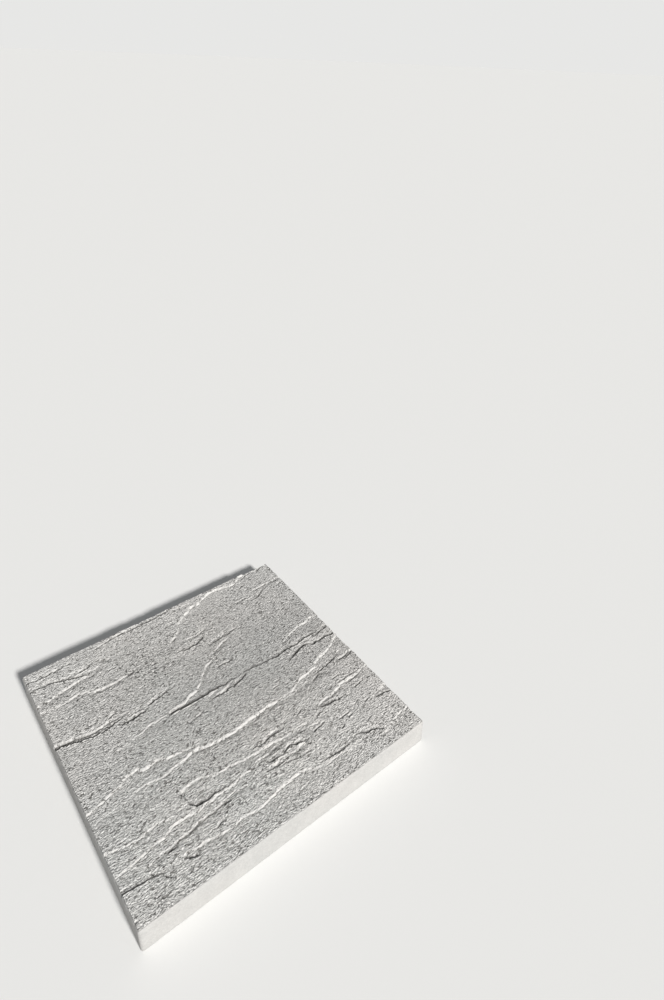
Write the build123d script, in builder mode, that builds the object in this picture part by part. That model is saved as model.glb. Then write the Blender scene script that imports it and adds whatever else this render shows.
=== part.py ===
from build123d import *
import os

# A riven concrete paving slab: one pressed piece with a flat bedding face and a split-stone top.
# The origin is the middle of the bedding face. X runs along the ledges, Z is up. Sizes are in mm.

# Block
slab_length = 400.0
slab_width = 400.0
thickness = 40.0
side_draft = 0.8
corner_radius = 3.0
top_arris = 1.5
base_arris = 1.0

# Riven face: how far a ledge drops, how much its broken edge leans back, how far above the top a
# scar's floor runs out, and how far a cut passes beyond the stone
high_step = 3.0
middle_step = 2.2
low_step = 1.5
riser_lean = 0.7
run_out_rise = 0.2
chip_clearance = 2.0

# The corners that the ledges are measured from, and the way that a ledge faces
front_left = (-slab_length / 2, -slab_width / 2)
front_right = (slab_length / 2, -slab_width / 2)
back_left = (-slab_length / 2, slab_width / 2)
back_right = (slab_length / 2, slab_width / 2)
to_front = -1
to_back = 1


def dish(center, plan_radius, distance, depth, mode):
    """Cut with a ball that dips by depth at distance, and meets the run-out level at plan_radius."""
    rise = (plan_radius**2 - distance**2 - depth**2) / (2 * depth)
    with Locations((center.X, center.Y, thickness + run_out_rise + rise)):
        Sphere((plan_radius**2 + rise**2) ** 0.5, rotation=(90, 0, 0), mode=mode)


def ledge(corner, facing, step, reach, *crest):
    """The stone that is missing below one ledge, as a shell-shaped flake leaves it.

    The crest is the top edge of the ledge, from left to right. The floor is part of a large
    ball. It lies one step below the top where the crest is highest over it, fades out at the
    crest's two ends, and runs out to the top at most reach away from the line between them.
    """
    start, end = Vector(*crest[0]), Vector(*crest[-1])
    half = (end - start).length / 2
    downhill = Vector(start.Y - end.Y, end.X - start.X).normalized() * facing
    plan_radius = (half**2 + reach**2) / (2 * reach)
    center = (start + end) / 2 + downhill * (reach - plan_radius)
    nearest = min((Vector(*point) - center).length for point in crest)
    broken = Vector(-downhill.X * riser_lean, -downhill.Y * riser_lean, 1)
    with BuildPart() as missing:
        with BuildSketch(Plane.XY.offset(thickness)):
            with BuildLine():
                Spline(*crest)
                past = downhill * (reach + 2 * step + chip_clearance)
                Polyline(end, end + past, start + past, start)
            make_face()
        extrude(amount=(step + chip_clearance) * broken.length, dir=broken, both=True)
        dish(center, plan_radius, nearest, step + run_out_rise, Mode.INTERSECT)
    return missing.part.moved(Location((*corner, 0)))


def hollow(corner, step, run_out, *rims):
    """The stone that is missing from a hollow with a rim on both sides.

    The rims follow each other round the broken edge. The floor lies one step below the top at
    the rim point farthest from the run-out line, and rises to the top there.
    """
    start, end = Vector(*run_out[0]), Vector(*run_out[1])
    along = (end - start).normalized()
    points = [Vector(*point) for rim in rims for point in rim]
    deepest = max(points, key=lambda point: (point - start).cross(along).length)
    lift = Vector(0, 0, thickness + run_out_rise)
    drop = Vector(0, 0, thickness - step)
    normal = along.cross(deepest + drop - start - lift)
    with BuildPart() as missing:
        with BuildSketch(Plane.XY.offset(thickness - step - chip_clearance)):
            with BuildLine():
                for rim in rims:
                    Spline(*rim)
                Line(rims[-1][-1], rims[0][0])
            make_face()
        extrude(amount=step + 2 * chip_clearance)
        floor = Plane(start + lift, x_dir=along, z_dir=normal if normal.Z > 0 else -normal)
        split(bisect_by=floor, keep=Keep.TOP)
    return missing.part.moved(Location((*corner, 0)))


ledges = [
    # The long main ledge, from the left edge to the right one, in three scars
    ledge(
        front_left, to_front, high_step, 28,
        (-60, 124), (0, 133), (33, 137), (48, 138), (59, 142), (80, 142), (94, 140), (105, 143),
        (121, 144), (131, 147), (141, 149), (151, 145), (165, 142), (195, 141), (215, 144),
        (236, 146), (260, 145), (270, 142), (282, 144), (310, 147), (345, 150),
    ),
    ledge(
        front_left, to_front, middle_step, 25,
        (-60, 125), (0, 148), (24, 153), (34, 157), (43, 158), (51, 164), (60, 166), (70, 167),
        (75, 162), (84, 163), (101, 163), (106, 158), (116, 156), (129, 154), (139, 152), (150, 146),
    ),
    ledge(
        front_right, to_front, high_step, 45,
        (-165, 139), (-118, 144), (-111, 149), (-101, 154), (-91, 159), (-82, 159), (-71, 162),
        (-65, 162), (-61, 168), (-56, 171), (-45, 175), (-40, 175), (-32, 177), (-23, 181),
        (-15, 187), (-5, 193), (70, 235),
    ),
    # The steps of the front third
    ledge(
        front_left, to_front, middle_step, 18,
        (118, 104), (133, 105), (139, 103), (154, 101), (168, 100), (178, 98), (193, 97), (217, 97),
        (225, 97), (232, 94), (246, 93), (262, 95), (277, 94), (293, 98), (310, 99),
    ),
    ledge(
        front_right, to_front, middle_step, 18,
        (-104, 104), (-97, 106), (-88, 107), (-75, 109), (-69, 110), (-65, 112), (-56, 115),
        (-44, 117), (-27, 117), (-10, 119), (25, 116),
    ),
    ledge(
        front_left, to_front, middle_step, 24,
        (-40, 50), (0, 62), (39, 67), (56, 70), (63, 70), (68, 73), (74, 76), (96, 76), (122, 76),
        (131, 78), (140, 77), (157, 78), (169, 81), (182, 82), (190, 86), (198, 88), (207, 86),
        (218, 86), (225, 89), (232, 90), (250, 88),
    ),
    ledge(
        front_left, to_front, low_step, 12,
        (-40, 86), (21, 88), (36, 86), (49, 88), (62, 89), (82, 87), (88, 90), (98, 89), (112, 86),
    ),
    ledge(
        front_left, to_front, middle_step, 30,
        (66, 33), (74, 38), (81, 38), (88, 36), (105, 35), (117, 32), (142, 34), (166, 32), (179, 35),
        (195, 38), (215, 41), (226, 41), (232, 40), (241, 36), (249, 32), (259, 29), (282, 29),
        (290, 27), (303, 27), (318, 20),
    ),
    ledge(front_right, to_front, low_step, 20, (-70, 19), (-37, 23), (-23, 28), (-7, 29), (30, 30)),
    ledge(front_left, to_back, low_step, 8, (-40, 46), (0, 43), (23, 41), (34, 40), (45, 39), (52, 42)),
    ledge(
        front_left, to_back, low_step, 7,
        (250, 39), (257, 37), (267, 35), (278, 34), (298, 35), (306, 38),
    ),
    ledge(
        front_right, to_back, middle_step, 12,
        (-106, 38), (-93, 40), (-81, 39), (-75, 35), (-67, 33), (-61, 31), (-53, 27), (-44, 22),
    ),
    # The thin flakes left standing in the front third
    ledge(front_left, to_back, low_step, 9, (186, 76), (199, 79), (207, 76), (220, 76), (230, 76)),
    ledge(
        front_left, to_back, middle_step, 10,
        (221, 75), (232, 78), (240, 79), (246, 76), (255, 74), (266, 74),
    ),
    ledge(front_left, to_front, low_step, 9, (188, 70), (198, 70), (211, 70), (218, 71), (228, 70)),
    ledge(
        front_left, to_front, low_step, 12,
        (223, 71), (231, 70), (236, 67), (245, 70), (255, 72), (264, 73),
    ),
    ledge(
        front_left, to_back, low_step, 7,
        (198, 101), (210, 105), (221, 107), (236, 106), (252, 108), (262, 106),
    ),
    ledge(
        front_right, to_back, middle_step, 6,
        (-106, 110), (-100, 105), (-94, 101), (-83, 99), (-72, 98), (-50, 99),
    ),
    # The ledges that face the back edge, across the middle of the slab
    ledge(
        front_right, to_back, middle_step, 13,
        (-216, 203), (-200, 204), (-187, 203), (-178, 205), (-166, 206), (-159, 210), (-151, 213),
        (-147, 215), (-128, 216), (-119, 213), (-109, 214), (-101, 212), (-89, 214), (-77, 215),
        (-60, 214), (-45, 217), (-33, 216), (-20, 219), (50, 221),
    ),
    ledge(
        front_right, to_back, low_step, 8,
        (-44, 209), (-33, 211), (-25, 212), (-14, 215), (-1, 217), (30, 220),
    ),
    ledge(
        front_right, to_back, high_step, 18,
        (-92, 194), (-88, 195), (-83, 197), (-73, 199), (-65, 203), (-57, 204), (-47, 203),
        (-41, 200), (-36, 199), (-22, 199),
    ),
    ledge(
        front_right, to_back, middle_step, 14,
        (-44, 200), (-37, 199), (-30, 200), (-23, 202), (-14, 199), (0, 199), (60, 203),
    ),
    ledge(
        front_left, to_back, middle_step, 8,
        (74, 244), (81, 240), (98, 239), (108, 240), (113, 242), (120, 248),
    ),
    ledge(
        front_left, to_back, low_step, 8,
        (112, 245), (121, 248), (132, 250), (138, 253), (153, 254), (166, 256),
    ),
    ledge(
        front_right, to_front, middle_step, 5,
        (-84, 217), (-78, 224), (-73, 229), (-65, 234), (-50, 239), (-33, 242), (-21, 244),
        (-15, 247), (-9, 246), (-3, 243), (50, 230),
    ),
    ledge(
        front_left, to_front, low_step, 8,
        (72, 205), (88, 210), (98, 212), (103, 215), (118, 216), (130, 217), (140, 216), (152, 212),
    ),
    ledge(
        front_left, to_front, low_step, 8,
        (214, 271), (226, 273), (238, 276), (245, 282), (256, 285), (266, 285),
    ),
    ledge(front_left, to_back, low_step, 8, (258, 236), (270, 240), (289, 244), (309, 244), (322, 242)),
    # The ledges of the back third
    ledge(
        back_left, to_front, low_step, 16,
        (-50, -76), (0, -68), (21, -65), (30, -62), (50, -60), (57, -58), (76, -58), (80, -53),
        (90, -49), (104, -46),
    ),
    ledge(
        back_left, to_front, low_step, 24,
        (-40, -78), (0, -79), (33, -83), (55, -81), (62, -84), (69, -88), (85, -89), (95, -93),
        (104, -89), (116, -88), (121, -84), (140, -84), (160, -80),
    ),
    ledge(
        back_right, to_front, high_step, 30,
        (-216, -88), (-212, -76), (-209, -71), (-203, -66), (-195, -62), (-190, -54), (-187, -45),
        (-179, -39), (-172, -34), (-160, -25), (-152, -21), (-141, -21), (-133, -17), (-126, -13),
        (-117, -10), (-100, -9), (-90, -12), (-66, -12), (-60, -7), (-50, -4), (-40, 3), (60, 20),
    ),
    ledge(
        back_left, to_back, middle_step, 16,
        (-40, -37), (0, -38), (35, -39), (46, -43), (57, -48), (65, -51), (78, -53), (92, -53),
    ),
    ledge(
        back_left, to_back, low_step, 8,
        (38, -42), (52, -38), (65, -42), (77, -42), (86, -38), (97, -43), (112, -43),
    ),
    ledge(
        back_left, to_back, middle_step, 12,
        (84, -20), (96, -15), (107, -12), (116, -9), (138, -11), (155, -11), (172, -10), (200, -9),
        (216, -6), (232, -6),
    ),
    ledge(back_left, to_back, low_step, 9, (-30, -21), (19, -21), (33, -21), (45, -18), (62, -17)),
    ledge(
        back_left, to_back, middle_step, 9,
        (184, -89), (192, -92), (204, -96), (222, -94), (230, -90), (242, -86),
    ),
    ledge(
        back_right, to_back, middle_step, 8,
        (-176, -110), (-161, -108), (-138, -106), (-124, -104), (-108, -104),
    ),
    ledge(
        back_right, to_back, low_step, 9,
        (-76, -67), (-68, -66), (-53, -64), (-48, -60), (-40, -56), (-30, -52), (-20, -50),
    ),
    ledge(back_right, to_back, low_step, 12, (-27, -12), (-20, -8), (-14, -4), (-4, -2), (30, 4)),
]

hollows = [
    # The valley between the slanting ledge and the straight one
    hollow(
        front_left, high_step, [(262, 290), (350, 218)],
        [
            (262, 290), (248, 283), (234, 273), (222, 265), (209, 255), (203, 249), (198, 244),
            (194, 238), (187, 233), (181, 228), (170, 226), (163, 222), (151, 220), (134, 217),
        ],
        [
            (134, 217), (148, 215), (159, 214), (171, 215), (195, 215), (209, 216), (255, 217),
            (304, 215), (349, 217),
        ],
    ),
    # The narrow trough at the left edge
    hollow(
        front_left, high_step, [(160, 240), (160, 262)],
        [
            (-30, 256), (0, 255), (21, 252), (31, 249), (43, 245), (53, 244), (64, 245), (70, 247),
            (79, 249), (94, 251),
        ],
        [
            (94, 251), (76, 255), (64, 254), (52, 252), (44, 252), (32, 254), (21, 257), (0, 260),
            (-30, 262),
        ],
    ),
    # The wedge-shaped hollow at the right edge, near the front
    hollow(
        front_right, middle_step, [(-38, 66), (-38, 82)],
        [(30, 62), (-1, 65), (-10, 67), (-20, 68), (-29, 73), (-38, 77)],
        [(-38, 77), (-24, 76), (-14, 76), (-5, 77), (30, 80)],
    ),
    # The shell-shaped pocket at the front left
    hollow(
        front_left, middle_step, [(166, 112), (170, 92)],
        [(134, 104), (130, 106), (125, 110), (109, 109), (96, 106)],
        [
            (96, 106), (100, 99), (101, 90), (103, 85), (109, 81), (122, 81), (138, 82), (150, 82),
            (155, 88),
        ],
    ),
]

with BuildPart() as slab:
    with BuildSketch():
        RectangleRounded(slab_length, slab_width, corner_radius)
    extrude(amount=thickness, taper=side_draft)
    chamfer(slab.faces().sort_by(Axis.Z)[-1].edges(), length=top_arris)
    chamfer(slab.faces().sort_by(Axis.Z)[0].edges(), length=base_arris)
    add(ledges + hollows, mode=Mode.SUBTRACT)

slab.part.label = "slab"
os.makedirs("parts", exist_ok=True)
export_step(slab.part, "parts/slab.step")
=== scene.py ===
"""Dress the riven concrete paving slab.

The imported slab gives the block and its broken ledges. This file adds the finer relief of the split
face, the worn arrises, the cast sides and the concrete itself. The slab is shaped in millimetres
and scaled to metres at the end. X runs along the ledges and Z is up.
"""

import math

import bmesh
import bpy
from mathutils import Matrix, Vector, noise
from mathutils.bvhtree import BVHTree
from mathutils.kdtree import KDTree


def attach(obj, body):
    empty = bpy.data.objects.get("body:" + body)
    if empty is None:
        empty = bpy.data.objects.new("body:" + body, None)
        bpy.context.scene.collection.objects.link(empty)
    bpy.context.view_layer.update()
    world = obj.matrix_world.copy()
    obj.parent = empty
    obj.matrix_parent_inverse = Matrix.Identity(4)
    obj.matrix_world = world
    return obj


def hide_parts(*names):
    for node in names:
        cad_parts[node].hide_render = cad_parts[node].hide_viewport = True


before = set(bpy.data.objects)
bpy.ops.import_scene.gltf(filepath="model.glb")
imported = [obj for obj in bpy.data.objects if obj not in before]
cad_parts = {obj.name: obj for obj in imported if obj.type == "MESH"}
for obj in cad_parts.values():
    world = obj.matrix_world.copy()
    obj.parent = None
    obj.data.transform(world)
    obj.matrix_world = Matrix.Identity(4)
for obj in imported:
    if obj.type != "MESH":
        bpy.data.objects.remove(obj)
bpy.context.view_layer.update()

millimetre = 0.001

# The block as it is cast
half_side = 200.0
thickness = 40.0
side_draft = math.radians(0.8)
corner_radius = 3.0
top_arris = 1.5
base_arris = 1.0

# The worn arris at the top: how far each course of faces steps out, and how far it drops
top_courses = ((0.45, 0.6), (1.05, 1.15), (1.45, 1.8))

# The arris at the base: how far each course lies inside the block's side, and how high
base_courses = ((0.45, 0.25), (1.0, 0.0), (4.0, 0.0))

# How finely the faces are modelled
cells_along = 240
cells_across = 340
row_length = cells_along + 1
side_courses = 8

# What is written on the mesh for the finish: how coarse the riven face is, a painted highlight on slopes
# of ledges that drop to the front towards the key light, and a painted shadow behind ledges that drop to
# the back, away from it
marks = ("riven", "key_lit_slope", "painted_shadow")

# The lean to the front at which the painted highlight begins, the fall from the stone in front at which
# the painted shadow begins, how much more makes each mark full, and how many rows in front are looked at
highlight_from, highlight_span = 0.22, 0.28
shadow_from, shadow_span = 0.32, 0.34
shadow_rows = 6

# The way that a small ledge faces
to_front = -1
to_back = 1

# How many times as deep as listed a small ledge drops, how much of that its crest drops and how far
# behind the line, and how its drop fades towards its two ends and along its run-out
small_step = 1.6
crest_drop = 0.5
crest_reach = 1.2
end_fade = 0.6
run_out_curve = 1.4

# How far behind and beside its measured line a ledge breaks, so that what is seen of its drop lies
# on the line
setback = {to_front: 2.1, to_back: 0.2}
sidestep = 1.0

# How much the ledges' crests and feet are sharpened by the way they face, and how far round them
sharpening = {to_front: 0.4, to_back: 1.3}
sharpening_passes = 4

# Smooth noise on the face, in layers: how strong it is, its size along the ledges and across them,
# and the level that it is taken from
stray_sideways = ((1.8, 13, 9, 3), (0.9, 5, 3.6, 9))
stray_forwards = ((1.6, 11, 7, 27), (0.9, 4.4, 3.2, 33))
swells = ((0.35, 95, 38, 51), (0.2, 20, 8, 57))
laminae = ((2.4, 70, 17, 61), (0.4, 9, 5, 64))
flakes = ((1.7, 34, 6.5, 131), (0.35, 6, 3, 137))
grains = ((0.17, 5.0, 2.7, 71.3), (0.27, 3.8, 2.1, 83.4))
pits = ((1, 4.2, 2.8, 101.6),)
patches = ((0.25, 60, 50, 97),)

# How thick the laminae and flakes are, and how steep their edges
lamina_thickness, lamina_edge = 0.13, 6
flake_thickness, flake_edge = 0.17, 5

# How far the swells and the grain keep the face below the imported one, where a pit begins in its
# noise, and how deep it goes
swell_depth = 0.35
grain_depth = 0.3
pit_from = 0.34
pit_depth = 3.2

# The key light: the way it comes from, how high it stands, its strength and how wide it is
key_azimuth = math.radians(2)
key_height = math.radians(35)
key_strength = 4.3
key_width = math.radians(7)
surround_strength = 0.23
pale_grey = (0.80, 0.80, 0.79, 1)
floor_radius = 60

# The camera, as it stood for the photograph
camera_place = (-0.2649, -0.5949, 0.8281)
camera_forward = (0.5724, 0.6659, -0.4785)
camera_right = (0.7713, -0.6353, 0.0386)
camera_lens = 24.25
camera_shift = (-0.0351, -0.0823)


def half_side_at(level):
    """Half the block's side at a height above the bedding face."""
    return half_side - level * math.tan(side_draft)


straight = half_side - corner_radius
top_border = half_side_at(thickness) - top_arris


def clamped(value):
    """A value kept from 0 to 1."""
    return max(0, min(1, value))


def outward(point):
    """The middle that a point of the block's outline turns about, and its way out from there."""
    middle = Vector((
        max(-straight, min(straight, point.x)),
        max(-straight, min(straight, point.y)),
        0,
    ))
    way = Vector((point.x, point.y, 0)) - middle
    return middle, way.normalized()


def ripple(x, y, layers):
    """Smooth noise that is drawn out along the ledges, as the sum of its layers."""
    return sum(
        strength * noise.noise(Vector((x / along, y / across, level)))
        for strength, along, across, level in layers
    )


def terraced(level, edge):
    """A smooth level turned into flat steps with a short slope between them."""
    step = math.floor(level)
    return step + min(1, (level - step) * edge)


# Small ledges that the block is too coarse for, from the front left corner of the slab: the way
# each faces, how far it drops, how far its scar runs out, and its crest from left to right.
small_ledges = [
    (to_front, 1.05, 7, (24, 52), (60, 56), (96, 61), (118, 63), (148, 68), (163, 67), (176, 62)),
    (to_front, 0.7, 6, (181, 55), (208, 52)),
    (to_front, 0.7, 5, (213, 63), (229, 64)),
    (to_back, 0.8, 5, (195, 68), (208, 67), (216, 66), (228, 66)),
    (to_back, 1.3, 7, (68, 38), (79, 31), (86, 28)),
    (to_back, 0.9, 6, (42, 40), (46, 31), (51, 24)),
    (to_back, 0.7, 5, (225, 63), (239, 58)),
    (to_back, 0.7, 5, (241, 58), (258, 59)),
    (to_back, 0.6, 5, (176, 56), (195, 57)),
    (to_back, 0.7, 5, (131, 62), (143, 65)),
    (to_back, 0.7, 5, (112, 45), (125, 47)),
    (to_back, 0.6, 5, (55, 54), (70, 54)),
    (to_back, 0.6, 5, (87, 130), (98, 131)),
    (to_back, 0.7, 5, (241, 112), (254, 112)),
    (to_back, 0.7, 5, (268, 111), (273, 113), (279, 117)),
    (to_front, 0.6, 5, (268, 104), (275, 105), (290, 105)),
    (to_back, 0.7, 5, (290, 95), (300, 96)),
    (to_back, 0.7, 6, (253, 91), (265, 87), (275, 87)),
    (to_front, 0.6, 5, (259, 85), (270, 84), (291, 85)),
    (to_back, 0.8, 6, (270, 79), (285, 79), (294, 81)),
    (to_back, 0.7, 6, (308, 73), (320, 73), (335, 74)),
    (to_back, 0.7, 5, (354, 73), (366, 75)),
    (to_back, 0.7, 5, (321, 67), (332, 70)),
    (to_back, 0.8, 6, (357, 101), (368, 102), (380, 104)),
    (to_back, 0.7, 6, (357, 113), (380, 116)),
    (to_back, 0.7, 6, (343, 130), (357, 132)),
    (to_back, 0.9, 7, (323, 153), (339, 154), (344, 156), (350, 156), (355, 159), (378, 162)),
    (to_front, 0.8, 6, (313, 143), (321, 146), (327, 148), (334, 151), (347, 146)),
    (to_front, 0.7, 6, (370, 153), (384, 154), (402, 155)),
    (to_back, 0.6, 5, (381, 151), (395, 151)),
    (to_front, 0.7, 5, (301, 133), (306, 136), (311, 138)),
    (to_back, 0.8, 4, (52, 249), (60, 250), (70, 251)),
    (to_back, 0.8, 4, (62, 247), (74, 248), (86, 249)),
    (to_back, 0.8, 4, (92, 246), (96, 243), (100, 239)),
    (to_front, 0.6, 7, (45, 203), (62, 206), (74, 206), (82, 202)),
    (to_front, 0.5, 6, (48, 209), (65, 212), (74, 214)),
    (to_back, 1.1, 6, (70, 260), (81, 263)),
    (to_back, 0.7, 5, (38, 262), (58, 264)),
    (to_back, 1.1, 6, (222, 249), (232, 249), (241, 247), (251, 252)),
    (to_front, 0.6, 5, (207, 321), (222, 320), (230, 320), (243, 324)),
    (to_front, 0.5, 4, (228, 297), (233, 305), (239, 312)),
    (to_back, 0.6, 5, (182, 318), (188, 314), (194, 316)),
    (to_back, 0.6, 5, (188, 307), (201, 308)),
    (to_back, 0.6, 5, (349, 313), (359, 313)),
    (to_back, 0.6, 5, (307, 343), (319, 343)),
    (to_back, 0.6, 5, (95, 337), (107, 336)),
    (to_front, 1.0, 8, (343, 351), (360, 352), (374, 353), (402, 354)),
    (to_back, 0.7, 6, (378, 339), (386, 341), (399, 344)),
    (to_front, 0.7, 6, (313, 334), (323, 336), (329, 339), (340, 340)),
    (to_back, 0.7, 5, (330, 371), (343, 374)),
    (to_back, 1.1, 6, (345, 390), (352, 392), (363, 393)),
    (to_back, 1.2, 6, (374, 391), (386, 395), (400, 399)),
    (to_front, 0.6, 5, (33, 376), (48, 378)),
    (to_front, 0.9, 6, (70, 38), (82, 37), (100, 36), (112, 33), (128, 33)),
    (to_front, 0.7, 5, (96, 108), (110, 110), (125, 109), (133, 103)),
    (to_front, 0.9, 6, (193, 87), (210, 86), (222, 89), (234, 91)),
    (to_back, 0.8, 5, (201, 102), (215, 105), (225, 107), (240, 106)),
    (to_back, 0.8, 4, (222, 76), (232, 80), (238, 80), (244, 77), (258, 73)),
    (to_front, 0.7, 4, (228, 72), (236, 67), (245, 69), (257, 73)),
    (to_front, 0.8, 6, (301, 105), (312, 108), (322, 108), (330, 110), (338, 113), (348, 117)),
    (to_front, 0.8, 6, (372, 72), (385, 74), (402, 77)),
    (to_back, 0.9, 5, (372, 71), (382, 69), (390, 68), (402, 63)),
    (to_back, 0.6, 4, (340, 120), (360, 122), (380, 121)),
    (to_back, 0.6, 4, (340, 131), (350, 131)),
    (to_back, 0.7, 14, (-10, 260), (21, 257), (32, 254), (44, 252), (52, 252), (64, 254), (94, 252)),
    (to_back, 0.9, 5, (80, 240), (91, 241), (98, 242), (112, 240), (120, 245)),
    (to_back, 1.0, 5, (117, 247), (127, 248), (136, 251), (147, 254)),
    (to_front, 0.6, 8, (206, 215), (218, 215), (230, 215), (242, 215), (254, 215)),
    (to_back, 1.0, 8, (184, 204), (200, 204), (214, 203), (222, 206), (236, 206), (250, 214)),
    (to_front, 0.7, 5, (184, 205), (194, 209), (207, 214)),
    (to_back, 0.6, 4, (143, 190), (158, 190), (172, 192), (184, 191)),
    (to_front, 0.95, 5, (178, 228), (187, 233), (194, 239), (199, 246), (208, 254), (214, 258),
     (236, 268)),
    (to_back, 0.9, 8, (348, 204), (360, 199), (372, 201), (380, 201), (390, 199), (404, 200)),
    (to_front, 0.5, 10, (110, 145), (141, 149), (151, 146), (165, 143), (195, 142), (215, 144), (236, 146),
     (260, 146), (285, 145), (310, 148), (350, 152)),
    (to_front, 0.9, 8, (70, 165), (76, 162), (88, 163), (101, 163), (106, 158), (120, 156),
     (139, 152), (150, 147)),
    (to_front, 0.5, 7, (125, 146), (141, 147), (151, 144), (165, 141), (195, 140), (215, 142), (236, 144),
     (260, 144), (285, 143), (315, 146)),
    (to_front, 0.8, 6, (362, 153), (378, 155), (404, 156)),
    (to_back, 0.6, 4, (264, 167), (276, 168)),
    (to_back, 0.6, 4, (274, 175), (286, 177)),
    (to_front, 1.0, 7, (18, 335), (40, 339), (60, 342), (78, 341), (86, 348), (98, 354)),
    (to_front, 0.9, 6, (20, 319), (45, 319), (60, 319), (68, 313), (76, 310), (97, 307),
     (120, 313), (145, 318)),
    (to_back, 1.1, 6, (15, 362), (35, 361), (47, 356), (60, 350), (76, 347)),
    (to_back, 0.8, 5, (23, 379), (52, 381)),
    (to_back, 0.9, 5, (92, 384), (106, 387), (115, 389), (125, 391), (147, 389)),
    (to_back, 0.6, 4, (58, 360), (82, 359)),
    (to_front, 0.9, 9, (100, 403), (150, 404), (200, 404), (245, 404)),
    (to_front, 1.0, 5, (183, 318), (190, 329), (198, 335), (208, 342), (216, 349)),
    (to_front, 0.9, 6, (198, 320), (215, 320), (232, 320), (247, 326)),
    (to_back, 0.9, 5, (188, 308), (201, 306), (212, 304), (222, 305), (236, 312)),
    (to_back, 0.8, 5, (220, 389), (248, 387)),
    (to_front, 0.7, 6, (222, 271), (240, 277), (256, 285)),
    (to_back, 0.6, 4, (298, 345), (337, 345)),
    (to_front, 0.7, 5, (316, 221), (324, 228), (333, 234), (348, 239)),
    (to_front, 0.7, 6, (336, 350), (350, 353), (366, 353)),
]

# Larger pits, from the front left corner of the slab: place, length, width and depth.
large_pits = [
    (141, 64, 5, 3, 1.2), (152, 53, 4, 3, 0.9), (51, 130, 4, 3, 0.9), (70, 128, 3, 2, 0.8),
    (51, 142, 3, 2, 0.8), (309, 61, 8, 3, 1.2), (387, 104, 5, 3, 0.9), (329, 98, 4, 3, 0.9),
    (51, 217, 4, 3, 0.8), (96, 218, 5, 3, 0.9), (29, 220, 3, 3, 0.8), (102, 194, 7, 3, 0.9),
    (30, 237, 4, 3, 0.8), (289, 295, 5, 3, 0.9), (294, 293, 3, 2, 0.8), (374, 264, 4, 3, 0.9),
    (355, 293, 5, 3, 1.0), (377, 291, 4, 3, 0.9), (301, 345, 5, 3, 0.9), (284, 326, 5, 3, 0.9),
    (260, 352, 6, 3, 1.0), (316, 353, 5, 3, 0.9), (331, 344, 4, 3, 0.9), (306, 368, 5, 3, 0.9),
    (338, 362, 5, 3, 0.9), (150, 348, 6, 4, 1.2), (150, 334, 5, 4, 1.1), (148, 320, 5, 3, 1.0),
    (155, 310, 6, 4, 1.1), (160, 298, 5, 3, 1.0), (149, 297, 5, 4, 1.0), (161, 282, 5, 3, 1.0),
    (140, 280, 5, 3, 0.9), (148, 289, 4, 3, 0.9), (135, 322, 7, 3, 1.1),
]


def from_corner(point):
    """A place measured from the slab's front left corner, as one measured from its middle."""
    return Vector((point[0] - half_side, point[1] - half_side, 0))


def strayed(x, y):
    """Where the stone's ragged break is looked up for a place on the face."""
    return x + ripple(x, y, stray_sideways), y + ripple(x, y, stray_forwards)


def break_small_ledge(corners, nearby, facing, step, run_out, *crest):
    """Lower the stone below one small ledge, most along the middle of its crest."""
    line = [from_corner(point) for point in crest]
    reach = run_out + 2
    lengths = [(b - a).length for a, b in zip(line, line[1:])]
    whole = sum(lengths)
    touched = set()
    for a, b in zip(line, line[1:]):
        touched.update(i for _, i, _ in nearby.find_range((a + b) / 2, (b - a).length / 2 + reach))
    for i in touched:
        corner = corners[i]
        x, y = strayed(corner.co.x, corner.co.y)
        place = Vector((x - sidestep, y - setback[facing], 0))
        best = None
        walked = 0.0
        for a, b, length in zip(line, line[1:], lengths):
            share = clamped((place - a).dot(b - a) / length**2)
            gap = place - a.lerp(b, share)
            if best is None or gap.length < best[0]:
                side = (b - a).cross(gap).z * facing
                best = (gap.length, side > 0, (walked + share * length) / whole)
            walked += length
        distance, below, along = best
        fade = math.sin(math.pi * along) ** end_fade
        if below:
            drop = max(0, 1 - distance / run_out) ** run_out_curve
        else:
            drop = max(0, crest_drop - distance / crest_reach)
        corner.co.z -= small_step * step * fade * drop


def sink_pit(corners, nearby, x, y, length, width, depth):
    """Sink one pit, drawn out along the ledges and uneven round its rim."""
    place = from_corner((x, y))
    for _, i, _ in nearby.find_range(place, length):
        corner = corners[i]
        strayed_x, strayed_y = strayed(corner.co.x, corner.co.y)
        away = math.hypot((strayed_x - place.x) / length, (strayed_y - place.y) / width) * 2
        corner.co.z -= depth * max(0, 1 - away**2)


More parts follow.
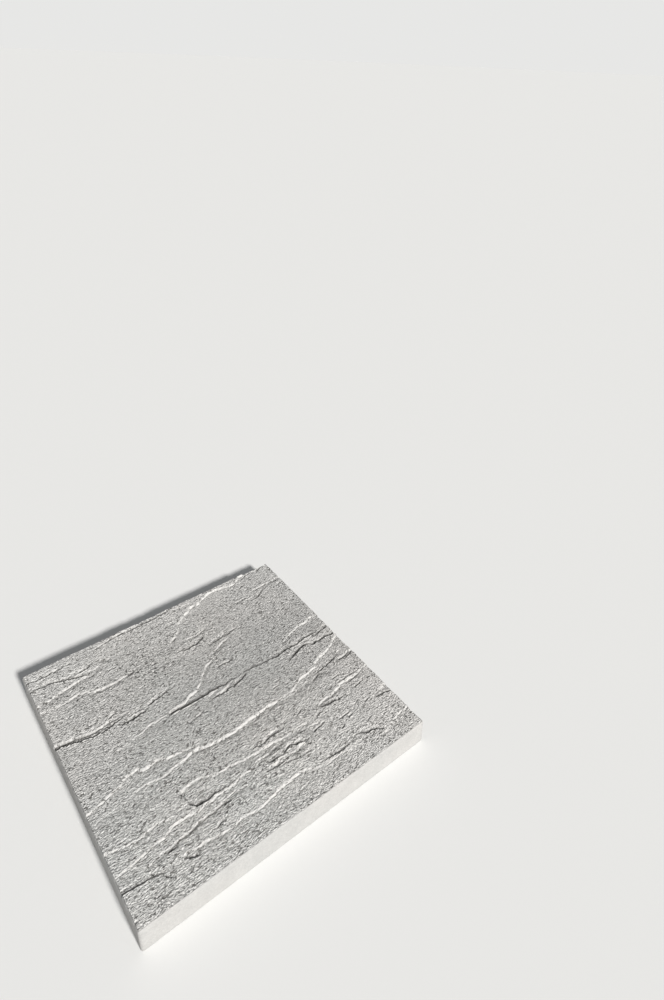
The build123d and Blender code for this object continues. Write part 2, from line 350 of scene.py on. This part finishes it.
def split_face(block):
    """The riven top face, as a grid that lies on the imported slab's face."""
    depsgraph = bpy.context.evaluated_depsgraph_get()
    packed_face = BVHTree.FromObject(block, depsgraph)
    straight_down = Vector((0, 0, -1))
    above = 2 * thickness * millimetre
    blur = 0.3

    def packed_height(x, y):
        x = max(-top_border, min(top_border, x))
        y = max(-top_border, min(top_border, y))
        start = Vector((x * millimetre, y * millimetre, above))
        found = packed_face.ray_cast(start, straight_down)[0]
        return found.z / millimetre

    def blurred_height(x, y):
        steps = ((0, 0), (blur, 0), (-blur, 0), (0, blur), (0, -blur))
        return sum(packed_height(x + dx, y + dy) for dx, dy in steps) / len(steps)

    work = bmesh.new()
    bmesh.ops.create_grid(work, x_segments=cells_along, y_segments=cells_across, size=top_border)
    for mark in marks:
        work.verts.layers.float.new(mark)
    corners = list(work.verts)
    work.verts.index_update()
    nearby = KDTree(len(corners))
    for i, corner in enumerate(corners):
        nearby.insert(corner.co, i)
    nearby.balance()
    for corner in corners:
        x, y = strayed(corner.co.x, corner.co.y)
        corner.co.z = min(blurred_height(x - sidestep, y - back) for back in setback.values())
    for facing, step, run_out, *crest in small_ledges:
        break_small_ledge(corners, nearby, facing, step, run_out, *crest)
    for pit in large_pits:
        sink_pit(corners, nearby, *pit)
    sharpen_breaks(corners)
    mark_breaks(work)
    for corner in corners:
        corner.co.z -= fine_relief(corner.co.x, corner.co.y)
        corner.co.z = min(thickness, corner.co.z)
    return work


def evened(heights, neighbours, passes):
    """Heights averaged with those of their neighbours, a number of times."""
    for _ in range(passes):
        heights = [
            (heights[i] + sum(heights[j] for j in around)) / (1 + len(around))
            for i, around in enumerate(neighbours)
        ]
    return heights


def sharpen_breaks(corners):
    """Lift the crests and cut the feet of the ledges, most on those that face back."""
    neighbours = [[edge.other_vert(corner).index for edge in corner.link_edges] for corner in corners]
    heights = [corner.co.z for corner in corners]
    around = evened(heights, neighbours, sharpening_passes)
    last = len(corners) - 1
    for i, corner in enumerate(corners):
        rise = around[min(last, i + row_length)] - around[max(0, i - row_length)]
        facing_front = clamped(0.5 + 2 * rise)
        amount = sharpening[to_back] + (sharpening[to_front] - sharpening[to_back]) * facing_front
        corner.co.z = heights[i] + amount * (heights[i] - around[i])


def mark_breaks(work):
    """Write on the mesh how coarse the face is, where slopes face the key light for a painted highlight,
    and where a painted shadow falls behind ledges.
    """
    riven, key_lit_slope, painted_shadow = [work.verts.layers.float[mark] for mark in marks]
    work.normal_update()
    heights = [corner.co.z for corner in work.verts]
    cell = 2 * top_border / cells_across
    for i, corner in enumerate(work.verts):
        # Painted shadow: how far the stone falls below what lies in front of it, towards the key light, as
        # that light's shadow behind a ledge
        before = [(rows, i - rows * row_length) for rows in range(1, shadow_rows + 1)]
        fall = max((heights[j] - heights[i]) / (rows * cell) if j >= 0 else 0 for rows, j in before)
        corner[riven] = coarseness(corner.co.x, corner.co.y)
        # Painted highlight: slopes that lean to the front, towards the key light, are marked to be painted
        # paler
        corner[key_lit_slope] = clamped((-corner.normal.y - highlight_from) / highlight_span)
        corner[painted_shadow] = clamped((fall - shadow_from) / shadow_span)


def near(x, y, middle, reach):
    """1 at the middle of an oval part of the face, and 0 at its rim and beyond."""
    return max(0, 1 - math.hypot((x - middle[0]) / reach[0], (y - middle[1]) / reach[1]))


def coarseness(x, y):
    """How coarse the grain of the riven face is: calm in the middle, rugged at the back left."""
    rugged = near(x, y, (-55, 110), (50, 65))
    back_left = near(x, y, (-200, 130), (170, 120))
    calm = near(x, y, (20, 5), (90, 50))
    return 0.95 + ripple(x, y, patches) + 0.5 * rugged + 0.1 * back_left - 0.3 * calm


def fine_relief(x, y):
    """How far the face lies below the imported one: swells, thin laminae, grain and pits."""
    swell = swell_depth + ripple(x, y, swells)
    leaves = lamina_thickness * (2 + terraced(ripple(x, y, laminae), lamina_edge))
    towards_front = 0.3 + 0.7 * clamped((-y - 20) / 90)
    leaves += flake_thickness * towards_front * (2 + terraced(ripple(x, y, flakes), flake_edge))
    pit = pit_depth * max(0, ripple(x, y, pits) - pit_from)
    return swell + leaves + (grain_depth + ripple(x, y, grains) + pit) * coarseness(x, y)


def extruded(work, border):
    """The new border edges and corners that come of extruding a border, with no marks on them."""
    made = bmesh.ops.extrude_edge_only(work, edges=border)["geom"]
    edges = [part for part in made if isinstance(part, bmesh.types.BMEdge) and part.is_boundary]
    corners = [part for part in made if isinstance(part, bmesh.types.BMVert)]
    for mark in marks:
        layer = work.verts.layers.float[mark]
        for corner in corners:
            corner[layer] = 0.0
    return edges, corners


def spot(place):
    """A place in plan, as a key to find again what was kept for it."""
    return round(place.x, 3), round(place.y, 3)


def case_sides(work):
    """Carry the face's border over the worn arris and down the cast sides to the underside."""
    border = [edge for edge in work.edges if edge.is_boundary]
    tops = {}
    for course, (step_out, drop) in enumerate(top_courses):
        border, corners = extruded(work, border)
        for corner in corners:
            top = tops[spot(corner.co)] if course else corner.co.z
            chip = worn(corner.co.x, corner.co.y, 0)
            middle, way = outward(corner.co)
            place = middle + way * (top_border + step_out * (1 - 0.25 * chip) - straight)
            corner.co = (place.x, place.y, top - drop * (1 + 0.5 * chip))
            tops[spot(place)] = top
    arris_drop = top_courses[-1][1]
    for course in range(1, side_courses + 1):
        border, corners = extruded(work, border)
        share = course / side_courses
        for corner in corners:
            top = tops[spot(corner.co)]
            height = (top - arris_drop) * (1 - share) + base_arris * share
            middle, way = outward(corner.co)
            radius = half_side_at(height) - side_roughness(corner.co, height)
            place = middle + way * (radius - straight)
            corner.co = (place.x, place.y, height)
            tops[spot(place)] = top
    for step_in, level in base_courses:
        border, corners = extruded(work, border)
        for corner in corners:
            chip = worn(corner.co.x, corner.co.y, 40)
            middle, way = outward(corner.co)
            place = middle + way * (half_side - step_in - 0.3 * chip - straight)
            corner.co = (place.x, place.y, level)
    return border


def worn(x, y, level):
    """How much of the arris is chipped off at a place, from 0 to 1."""
    return clamped(0.35 + 1.2 * noise.noise(Vector((x / 9, y / 9, level))))


def side_roughness(place, height):
    """How far a cast side lies inside its mould."""
    broad = 0.12 * (1 + noise.noise(Vector((place.x / 40, place.y / 40, height / 12))))
    fine = 0.10 * (1 + noise.noise(Vector((place.x / 4, place.y / 4, height / 4))))
    return broad + fine


def make_slab():
    """The riven slab as one closed mesh."""
    work = split_face(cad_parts["slab"])
    border = case_sides(work)
    bmesh.ops.contextual_create(work, geom=border)
    bmesh.ops.recalc_face_normals(work, faces=work.faces)
    bmesh.ops.scale(work, vec=(millimetre,) * 3, verts=work.verts)
    bmesh.ops.triangulate(work, faces=[face for face in work.faces if len(face.verts) > 4])
    for face in work.faces:
        face.smooth = True
    mesh = bpy.data.meshes.new("riven_slab")
    work.to_mesh(mesh)
    work.free()
    mesh.set_sharp_from_angle(angle=math.radians(60))
    slab = bpy.data.objects.new("riven_slab", mesh)
    bpy.context.scene.collection.objects.link(slab)
    return slab


class Finish:
    """A material and short ways to add and join its nodes."""

    def __init__(self, name):
        self.material = bpy.data.materials.new(name)
        self.material.use_nodes = True
        self.nodes = self.material.node_tree.nodes
        self.links = self.material.node_tree.links
        self.shader = self.nodes["Principled BSDF"]
        self.place = self.nodes.new("ShaderNodeTexCoord").outputs["Object"]

    def put(self, socket, value):
        """Join a socket to another one, or set it to a value."""
        if isinstance(value, bpy.types.NodeSocket):
            self.links.new(value, socket)
        else:
            socket.default_value = value

    def stretched(self, x, y, z, shift=(0, 0, 0)):
        node = self.nodes.new("ShaderNodeMapping")
        self.links.new(self.place, node.inputs["Vector"])
        node.inputs["Location"].default_value = shift
        node.inputs["Scale"].default_value = (x, y, z)
        return node.outputs["Vector"]

    def length(self, place):
        node = self.nodes.new("ShaderNodeVectorMath")
        node.operation = "LENGTH"
        self.links.new(place, node.inputs[0])
        return node.outputs["Value"]

    def noise(self, scale, detail, roughness=0.5, place=None):
        node = self.nodes.new("ShaderNodeTexNoise")
        self.links.new(place or self.place, node.inputs["Vector"])
        node.inputs["Scale"].default_value = scale
        node.inputs["Detail"].default_value = detail
        node.inputs["Roughness"].default_value = roughness
        return node.outputs["Fac"]

    def remap(self, value, low, high, to_low=0.0, to_high=1.0):
        node = self.nodes.new("ShaderNodeMapRange")
        self.put(node.inputs["Value"], value)
        node.inputs["From Min"].default_value = low
        node.inputs["From Max"].default_value = high
        node.inputs["To Min"].default_value = to_low
        node.inputs["To Max"].default_value = to_high
        return node.outputs["Result"]

    def combine(self, operation, a, b):
        node = self.nodes.new("ShaderNodeMath")
        node.operation = operation
        self.put(node.inputs[0], a)
        self.put(node.inputs[1], b)
        return node.outputs["Value"]

    def times(self, a, b):
        return self.combine("MULTIPLY", a, b)

    def mix(self, factor, a, b, blend="MIX"):
        node = self.nodes.new("ShaderNodeMix")
        node.data_type = "RGBA"
        node.blend_type = blend
        self.put(node.inputs["Factor"], factor)
        self.put(node.inputs[6], a)
        self.put(node.inputs[7], b)
        return node.outputs[2]

    def mark(self, name):
        node = self.nodes.new("ShaderNodeAttribute")
        node.attribute_name = name
        return node.outputs["Fac"]

    def bump(self, height, distance):
        node = self.nodes.new("ShaderNodeBump")
        node.inputs["Strength"].default_value = 1.0
        node.inputs["Distance"].default_value = distance
        self.links.new(height, node.inputs["Height"])
        return node.outputs["Normal"]


def concrete():
    """Light grey pressed concrete: sandy grain and small pits, with a painted highlight, painted shadow
    and painted shade in pits.
    """
    finish = Finish("riven_concrete")
    grey_cool = (0.518, 0.517, 0.504, 1)
    grey_warm = (0.564, 0.549, 0.530, 1)
    # The colour of the painted highlight on slopes that face the key light
    highlight_colour = (0.68, 0.67, 0.65, 1)
    # The colour of the painted shadow behind ledges and the painted shade in pits
    painted_shade_colour = (0.12, 0.115, 0.105, 1)
    riven = finish.mark("riven")
    key_lit_slope = finish.mark("key_lit_slope")
    painted_shadow = finish.mark("painted_shadow")
    along = finish.stretched(0.53, 1, 1)
    cloud = finish.remap(finish.noise(7, 3), 0.3, 0.7)
    mottle = finish.noise(55, 4, 0.6)
    sand = finish.noise(900, 1, place=along)
    grain = finish.noise(520, 1, 0.4, along)
    # The pits' mask both sinks the bump relief and darkens the colour as painted shade in the hollows
    pit_relief_and_shade = finish.times(finish.remap(finish.noise(430, 1, place=along), 0.38, 0.33), riven)
    coarse = finish.remap(riven, 0, 2, 0.2, 2.0)

    # The plain stone, darkest just behind and right of the middle, and on the cast sides
    speckle = finish.times(finish.remap(sand, 0.3, 0.7, -0.40, 0.40), coarse)
    shade = finish.times(
        finish.remap(mottle, 0.3, 0.7, 0.95, 1.05),
        finish.combine("ADD", speckle, 1.0),
    )
    from_darkest = finish.length(finish.stretched(0.5, 1, 0, (-0.035, -0.03, 0)))
    shade = finish.times(shade, finish.remap(from_darkest, 0.04, 0.19, 0.98, 1.22))
    shade = finish.times(shade, finish.remap(riven, 0, 1, 0.70, 1.0))
    colour = finish.mix(cloud, grey_cool, grey_warm)
    colour = finish.mix(1.0, colour, shade, "MULTIPLY")

    # Painted highlight on slopes facing the key light, painted shadow behind ledges that drop away from
    # it, and painted shade in pits
    painted_highlight = finish.times(key_lit_slope, finish.remap(grain, 0.35, 0.6, 0.62, 1.0))
    colour = finish.mix(painted_highlight, colour, highlight_colour)
    # Painted shadow behind ledges that drop to the back, away from the key light
    colour = finish.mix(finish.times(painted_shadow, 0.78), colour, painted_shade_colour)
    # Painted shade in the pits
    colour = finish.mix(finish.times(pit_relief_and_shade, 0.85), colour, painted_shade_colour)

    # The relief that is finer than the mesh
    height = finish.combine("ADD", grain, finish.times(sand, 0.75))
    height = finish.combine("SUBTRACT", height, finish.times(pit_relief_and_shade, 0.5))
    height = finish.times(height, coarse)
    height = finish.times(height, finish.remap(key_lit_slope, 0, 1, 1.0, 0.4))

    finish.put(finish.shader.inputs["Base Color"], colour)
    finish.put(finish.shader.inputs["Roughness"], finish.remap(mottle, 0.3, 0.7, 0.84, 0.95))
    finish.put(finish.shader.inputs["Specular IOR Level"], 0.3)
    finish.put(finish.shader.inputs["Normal"], finish.bump(height, 0.003))
    return finish.material


def lay_floor():
    """A plain pale floor, far wider than the slab."""
    work = bmesh.new()
    bmesh.ops.create_circle(work, cap_ends=True, segments=96, radius=floor_radius)
    mesh = bpy.data.meshes.new("floor")
    work.to_mesh(mesh)
    work.free()
    floor = bpy.data.objects.new("floor", mesh)
    bpy.context.scene.collection.objects.link(floor)
    finish = Finish("pale_floor")
    finish.put(finish.shader.inputs["Base Color"], pale_grey)
    finish.put(finish.shader.inputs["Roughness"], 0.9)
    finish.put(finish.shader.inputs["Specular IOR Level"], 0.1)
    mesh.materials.append(finish.material)


def set_light():
    """A soft key light from the front, and an even surround that is seen as pale."""
    towards = Vector((
        math.sin(key_azimuth) * math.cos(key_height),
        -math.cos(key_azimuth) * math.cos(key_height),
        math.sin(key_height),
    ))
    lamp = bpy.data.lights.new("key_light", "SUN")
    lamp.energy = key_strength
    lamp.angle = key_width
    lamp.color = (1.0, 0.985, 0.965)
    key = bpy.data.objects.new("key_light", lamp)
    key.rotation_euler = towards.to_track_quat("Z", "Y").to_euler()
    bpy.context.scene.collection.objects.link(key)

    world = bpy.data.worlds.new("surround")
    bpy.context.scene.world = world
    world.use_nodes = True
    nodes, links = world.node_tree.nodes, world.node_tree.links
    nodes.clear()
    even = nodes.new("ShaderNodeBackground")
    even.inputs["Color"].default_value = (0.95, 0.98, 1.0, 1)
    even.inputs["Strength"].default_value = surround_strength
    seen = nodes.new("ShaderNodeBackground")
    seen.inputs["Color"].default_value = pale_grey
    seen.inputs["Strength"].default_value = 1.0
    ray = nodes.new("ShaderNodeLightPath")
    mix = nodes.new("ShaderNodeMixShader")
    out = nodes.new("ShaderNodeOutputWorld")
    seen_ray = ray.outputs["Is Camera Ray"]
    for kind in ("Is Glossy Ray", "Is Transmission Ray"):
        either = nodes.new("ShaderNodeMath")
        either.operation = "MAXIMUM"
        links.new(seen_ray, either.inputs[0])
        links.new(ray.outputs[kind], either.inputs[1])
        seen_ray = either.outputs["Value"]
    links.new(seen_ray, mix.inputs["Fac"])
    links.new(even.outputs["Background"], mix.inputs[1])
    links.new(seen.outputs["Background"], mix.inputs[2])
    links.new(mix.outputs["Shader"], out.inputs["Surface"])


def place_camera():
    """The photograph's view: standing at the front left corner, looking down across the slab."""
    data = bpy.data.cameras.new("view")
    data.sensor_width = 36.0
    data.lens = camera_lens
    data.shift_x, data.shift_y = camera_shift
    data.clip_start = 0.01
    data.clip_end = 200
    forward = Vector(camera_forward).normalized()
    right = Vector(camera_right)
    right = (right - forward * right.dot(forward)).normalized()
    up = right.cross(forward)
    turn = Matrix((right, up, -forward)).transposed().to_4x4()
    camera = bpy.data.objects.new("view", data)
    camera.matrix_world = Matrix.Translation(camera_place) @ turn
    bpy.context.scene.collection.objects.link(camera)
    bpy.context.scene.camera = camera


place_camera()
set_light()
lay_floor()
slab = make_slab()
slab.data.materials.append(concrete())
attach(slab, "root")
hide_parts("slab")

bpy.context.scene.view_settings.view_transform = "Standard"
